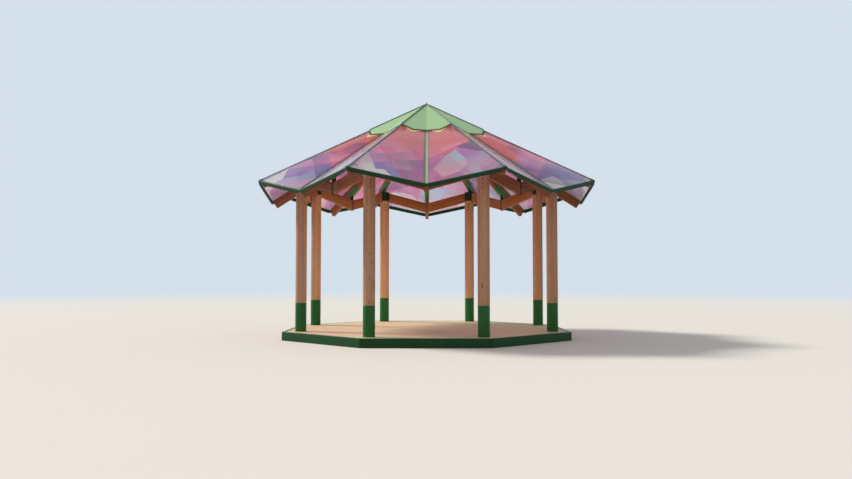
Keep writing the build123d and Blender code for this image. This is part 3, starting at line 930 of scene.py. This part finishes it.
# Rubber beads beside the ridge covers; their dark line also paints the shadow along the ridges
sealAndShade = {"width": 0.004, "low": 0.0001, "high": 0.0026, "top": 1.56}
low, high = sealAndShade["low"], sealAndShade["high"]
build = bmesh.new()
for side in (-1, 1):
    inner, outer = side * ridge["leg"], side * (ridge["leg"] + sealAndShade["width"])
    profile = [(inner, low), (inner, high), (outer, high * 0.6), (outer, low)]
    ridgeStrip(build, profile, eaveRadius - tip["length"], sealAndShade["top"], mitred=False)
addPiece("ridgeSealsAndShade", build, ["rubber"])
print("ridges and valleys done")

# Eave: folded fascia with a rolled front and a lapped seam behind, mitred at ridge and valley
eave = {
    "height": 0.062, "depth": 0.025, "lip": 0.014, "lap": 0.001, "gap": 0.0007, "bend": 0.004,
    "corner": 0.002,
}


def eaveBar(build, profile, start, end):
    # profile of (depth in from the face, drop below the roof line), from the valley to the ridge
    for bay, side in halves:
        rings = [[], []]
        for depth, drop in profile:
            out = eaveOut - depth
            for ring, across in zip(rings, (start, out * math.tan(halfBay) - end)):
                point = Vector((side * across, -out, roofLevel(out, across) - drop))
                ring.append(bayMatrix(bay) @ point)
        addRings(build, rings)


tall, deep, lip, lap, bend, corner = pick(eave, "height", "depth", "lip", "lap", "bend", "corner")
profile = [(deep - corner, 0), (deep, corner), (deep, tall - lip), (deep - lap, tall - lip + lap)]
profile += [(deep - lap, tall - corner), (deep - corner, tall), (bend * 1.5, tall)]
profile += [(bend * 0.5, tall - bend * 0.4), (0, tall - bend * 1.5), (0, bend * 1.5)]
profile += [(bend * 0.5, bend * 0.4), (bend * 1.5, 0)]
build = bmesh.new()
eaveBar(build, profile, eave["gap"], eave["gap"])
addPiece("eaveChannels", build, ["trimGreen"], ["eave_trims"])

# Drip angle under the channels, set back from the face: a dark strip added as painted shade below the eave
# channels
shadeDrip = {
    "face": 0.004, "wall": 0.002, "foot": 0.020, "drop": 0.0623, "tall": 0.026, "start": 0.055, "end": 0.060,
}
face, wall, foot, top = pick(shadeDrip, "face", "wall", "foot", "drop")
under = top + shadeDrip["tall"]
profile = [(face, top), (face, under), (face + wall, under), (face + wall, top + wall)]
profile += [(foot, top + wall), (foot, top)]
build = bmesh.new()
eaveBar(build, profile, shadeDrip["start"], shadeDrip["end"])
addPiece("eaveShadeDrips", build, ["trimGreen"])
print("eave done")

# Crown: folded sheets, ridge caps, a dark edge strip and the yellow slivers under it; the strip's wide
# flange is painted shade below the crown's edge
crown = {
    "ridgeReach": 1.556, "breakOut": 1.608, "breakAcross": 0.326, "valleyReach": 1.514,
    "hole": 0.018, "low": 0.0048, "high": 0.0088, "seam": 0.0006,
}


def laid(bay, side, outline, lift):
    # outline of (out, across) over one of a bay's sheets
    return [bayMatrix(bay) @ onSheet(out, side * across, lift) for out, across in outline]


def crownEdge(grow=0.0):
    # lower edge of half a bay's sheet, from the valley to the ridge
    cornerOut, cornerAcross = besideRidge(crown["ridgeReach"] + grow, 0)
    breakPoint = (crown["breakOut"] + grow * 0.98, crown["breakAcross"] + grow * 0.3)
    return [(crown["valleyReach"] + grow, 0.0), breakPoint, (cornerOut, cornerAcross - crown["seam"])]


build = bmesh.new()
topOut, topAcross = besideRidge(crown["hole"], 0)
outline = [(crown["hole"], 0.0)] + crownEdge() + [(topOut, topAcross - crown["seam"])]
for bay, side in halves:
    addRings(build, [laid(bay, side, outline, crown[level]) for level in ("low", "high")])
bmesh.ops.remove_doubles(build, verts=build.verts, dist=0.0001)
addPiece("crownSheets", build, ["paleGreen"], ["crown"], degrees=5)

cap = {"half": 0.013, "low": 0.0089, "high": 0.0272, "bend": 0.003, "top": 0.045}
half, low, high, bend = pick(cap, "half", "low", "high", "bend")
profile = [(-half, low), (-half, high - bend), (-half + bend, high), (half - bend, high)]
profile += [(half, high - bend), (half, low), (0, low)]
build = bmesh.new()
ridgeStrip(build, profile, crown["ridgeReach"], cap["top"], mitred=False)
addPiece("crownCaps", build, ["ridgeGreen"], ["crown_caps"])

# growth past the crown's edge and lift of the strip's corners; the 58 mm flat flange on the sheets paints
# the shade below the crown's edge
strip = [
    (0.0004, 0.0040), (0.0004, 0.0112), (0.0034, 0.0112), (0.0034, 0.0066), (0.058, 0.0062), (0.058, 0.0040),
]
build = bmesh.new()
for bay, side in halves:
    lines = [laid(bay, side, crownEdge(grow), lift) for grow, lift in strip]
    addRings(build, list(zip(*lines)))
addPiece("crownEdgeAndShadeStrip", build, ["darkGreen"])

# Yellow slivers that show below the folds of the edge
sliver = {
    "cover": 0.09, "corner": 0.036, "cornerOut": 0.02, "pointOut": 1.768, "pointAcross": 0.338,
    "tailOut": 0.050, "tailAcross": 0.075, "low": 0.0004, "high": 0.0034, "chamfer": 0.0006,
}
cornerOut, cornerAcross = besideRidge(crown["ridgeReach"], sliver["corner"])
tailOut = crown["valleyReach"] + sliver["tailOut"]
cover, tailAcross = sliver["cover"], sliver["tailAcross"]
outline = [
    (cornerOut - cover, cornerAcross - cover / 2), (cornerOut + sliver["cornerOut"], cornerAcross),
    (sliver["pointOut"], sliver["pointAcross"]), (tailOut, tailAcross),
    (crown["valleyReach"] - cover, tailAcross),
]
middle = Vector([sum(point[part] for point in outline) / len(outline) for part in (0, 1)])
inset = []
for point in outline:
    inset.append(Vector(point) + (middle - Vector(point)).normalized() * sliver["chamfer"])
build = bmesh.new()
for bay, side in halves:
    shoulder = sliver["high"] - sliver["chamfer"]
    rings = [laid(bay, side, outline, lift) for lift in (sliver["low"], shoulder)]
    addRings(build, rings + [laid(bay, side, inset, sliver["high"])])
addPiece("crownSlivers", build, ["yellow"], ["crown_leaves"])

low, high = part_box("finial")
tall = high.z - low.z
profile = [
    (0.030, 0), (0.034, 0.002), (0.034, 0.006), (0.030, 0.009), (0.019, 0.012), (0.014, 0.018),
    (0.015, 0.023), (0.012, 0.028), (0.009, tall * 0.7), (0.0045, tall - 0.003), (0.002, tall),
]
build = bmesh.new()
addLathe(build, Matrix.Translation((0, 0, low.z)), profile, sides["finial"])
addPiece("finialSpike", build, ["trimGreen"], ["finial"])
print("crown done")

# Screws along ridges, valleys, eave and crown: start, pitch and end of each row
screws = {
    "valley": (1.68, 0.18, eaveOut - 0.07), "ridge": (1.70, 0.30, eaveRadius - 0.25),
    "eave": (0.16, 0.40, 1.40), "eaveDepth": 0.0125, "eaveDrop": 0.0615, "valleyAside": 0.020,
    "ridgeSunk": 0.0005, "crownInset": -0.035, "crownShares": (0.2, 0.5, 0.8),
    "size": 0.0075, "ridgeSize": 0.006, "eaveSize": 0.005,
}


def rowOf(key):
    start, pitch, end = screws[key]
    return [start + pitch * step for step in range(int((end - start) / pitch) + 1)]


def addScrew(build, position, direction, size=screws["size"]):
    # sheet screw with a sealing washer
    profile = [(size * 1.25, -0.001), (size * 1.25, 0.0012), (size, 0.0022), (size * 0.62, 0.0026)]
    profile += [(size * 0.6, 0.0062), (size * 0.4, 0.0072)]
    addLathe(build, facing(position, direction), profile, sides["screw"])


build = bmesh.new()
ridgeSlope = math.atan(ridgeFall)
for bay, side in halves:
    turn = bayMatrix(bay)
    up = turn.to_3x3() @ sheetNormal(side)
    for out in rowOf("valley"):
        addScrew(build, turn @ onSheet(out, side * screws["valleyAside"], valley["top"]), up)
    if side == 1:
        ridgeUp = postMatrix(bay).to_3x3() @ Vector((0, -math.sin(ridgeSlope), math.cos(ridgeSlope)))
        for radius in rowOf("ridge"):
            spot = onSheet(*besideRidge(radius, 0.0), ridge["high"] - screws["ridgeSunk"])
            addScrew(build, turn @ spot, ridgeUp, screws["ridgeSize"])
    edge = crownEdge(screws["crownInset"])
    for (first, second), share in product(zip(edge, edge[1:]), screws["crownShares"]):
        out, across = (near + (far - near) * share for near, far in zip(first, second))
        addScrew(build, turn @ onSheet(out, side * across, crown["high"]), up)
    out = eaveOut - screws["eaveDepth"]
    for across in rowOf("eave"):
        spot = Vector((side * across, -out, roofLevel(out, across) - screws["eaveDrop"]))
        addScrew(build, turn @ spot, Vector((0, 0, -1)), screws["eaveSize"])
addPiece("roofScrews", build, ["zinc"])
print("screws done")

# Studio: pale floor that fades into the backdrop, soft sun from the left, world fill
studio = {
    "backdrop": srgb(212, 224, 235), "floor": srgb(222, 219, 212), "floorBounce": srgb(138, 126, 104),
    "fill": (0.97, 0.98, 1.0, 1), "fillStrength": 0.46, "fadeStart": 14.0, "fadeEnd": 70.0, "half": 260.0,
    "sunAngle": 13,
}
# kind, energy, place, target, settings
lights = {
    "sun": ("SUN", 3.0, (-14.0, 5.0, 13.6), (0, 0, 0), {
        "angle": math.radians(studio["sunAngle"]), "color": (1.0, 0.95, 0.87)}),
    "frontFill": ("AREA", 62, (4, -15, 9.5), (0, 0, 2.5), {"size": 7.0, "color": (1.0, 0.98, 0.95)}),
    "stageGlow": ("AREA", 94, (-0.5, -0.2, plinthTop + 0.1), (0.5, 1.4, 4.6), {
        "size": 2.4, "color": (1.0, 0.86, 0.54)}),
}
view = {
    "location": (0.0453, -20.479, 1.532), "lift": 2.687, "turn": 0.0031, "lens": 33.389, "sensor": 36,
    "clip": 500,
}


def seenRay():
    # 1 where the ray is seen straight, in a gloss or through the sheets
    rays = ("Is Camera Ray", "Is Glossy Ray", "Is Transmission Ray")
    straight, glossy, through = addNode("LightPath", out=rays)
    return maths("ADD", straight, glossy + through, clamp=True)


half = studio["half"]
floorMesh = bpy.data.meshes.new("studioFloor")
corners = [(-half, -half, 0), (half, -half, 0), (half, half, 0), (-half, half, 0)]
floorMesh.from_pydata(corners, [], [(0, 1, 2, 3)])
floor = linked("studioFloor", floorMesh)
place = startMaterial("studioFloor")
distance = addNode("VectorMath", {0: place}, out="Value", operation="LENGTH")
far = addNode("MapRange", {
    0: distance, 1: studio["fadeStart"], 2: studio["fadeEnd"], 3: 0.0, 4: 1.0,
}, interpolation_type="SMOOTHERSTEP")
seen = seenRay()
ground = surface(mixed(seen, studio["floorBounce"], studio["floor"]), 0.9)
backdrop = addNode("Emission", {"Color": studio["backdrop"], "Strength": 1.0})
floorMesh.materials.append(finished(mixShader(far * seen, ground, backdrop)))

world = bpy.data.worlds.new("studioWorld")
scene.world = world
startTree(world)
fill = addNode("Background", {"Color": studio["fill"], "Strength": studio["fillStrength"]})
shown = addNode("Background", {"Color": studio["backdrop"], "Strength": 1.0})
addNode("OutputWorld", {"Surface": mixShader(seenRay(), fill, shown)}, out=())

for name, (kind, energy, place, target, settings) in lights.items():
    lamp = bpy.data.lights.new(name, kind)
    lamp.energy = energy
    for key, value in settings.items():
        setattr(lamp, key, value)
    thing = linked(name, lamp)
    thing.visible_camera = False
    thing.visible_glossy = name != "stageGlow"
    thing.location = place
    thing.rotation_euler = (Vector(target) - Vector(place)).to_track_quat("-Z", "Y").to_euler()

camera = bpy.data.cameras.new("photoCamera")
camera.lens = view["lens"]
camera.sensor_width = view["sensor"]
camera.clip_end = view["clip"]
cameraObject = linked("photoCamera", camera)
cameraObject.location = view["location"]
cameraObject.rotation_euler = (math.radians(90 + view["lift"]), 0, view["turn"])
scene.camera = cameraObject
scene.view_settings.view_transform = "Standard"
print("studio done")
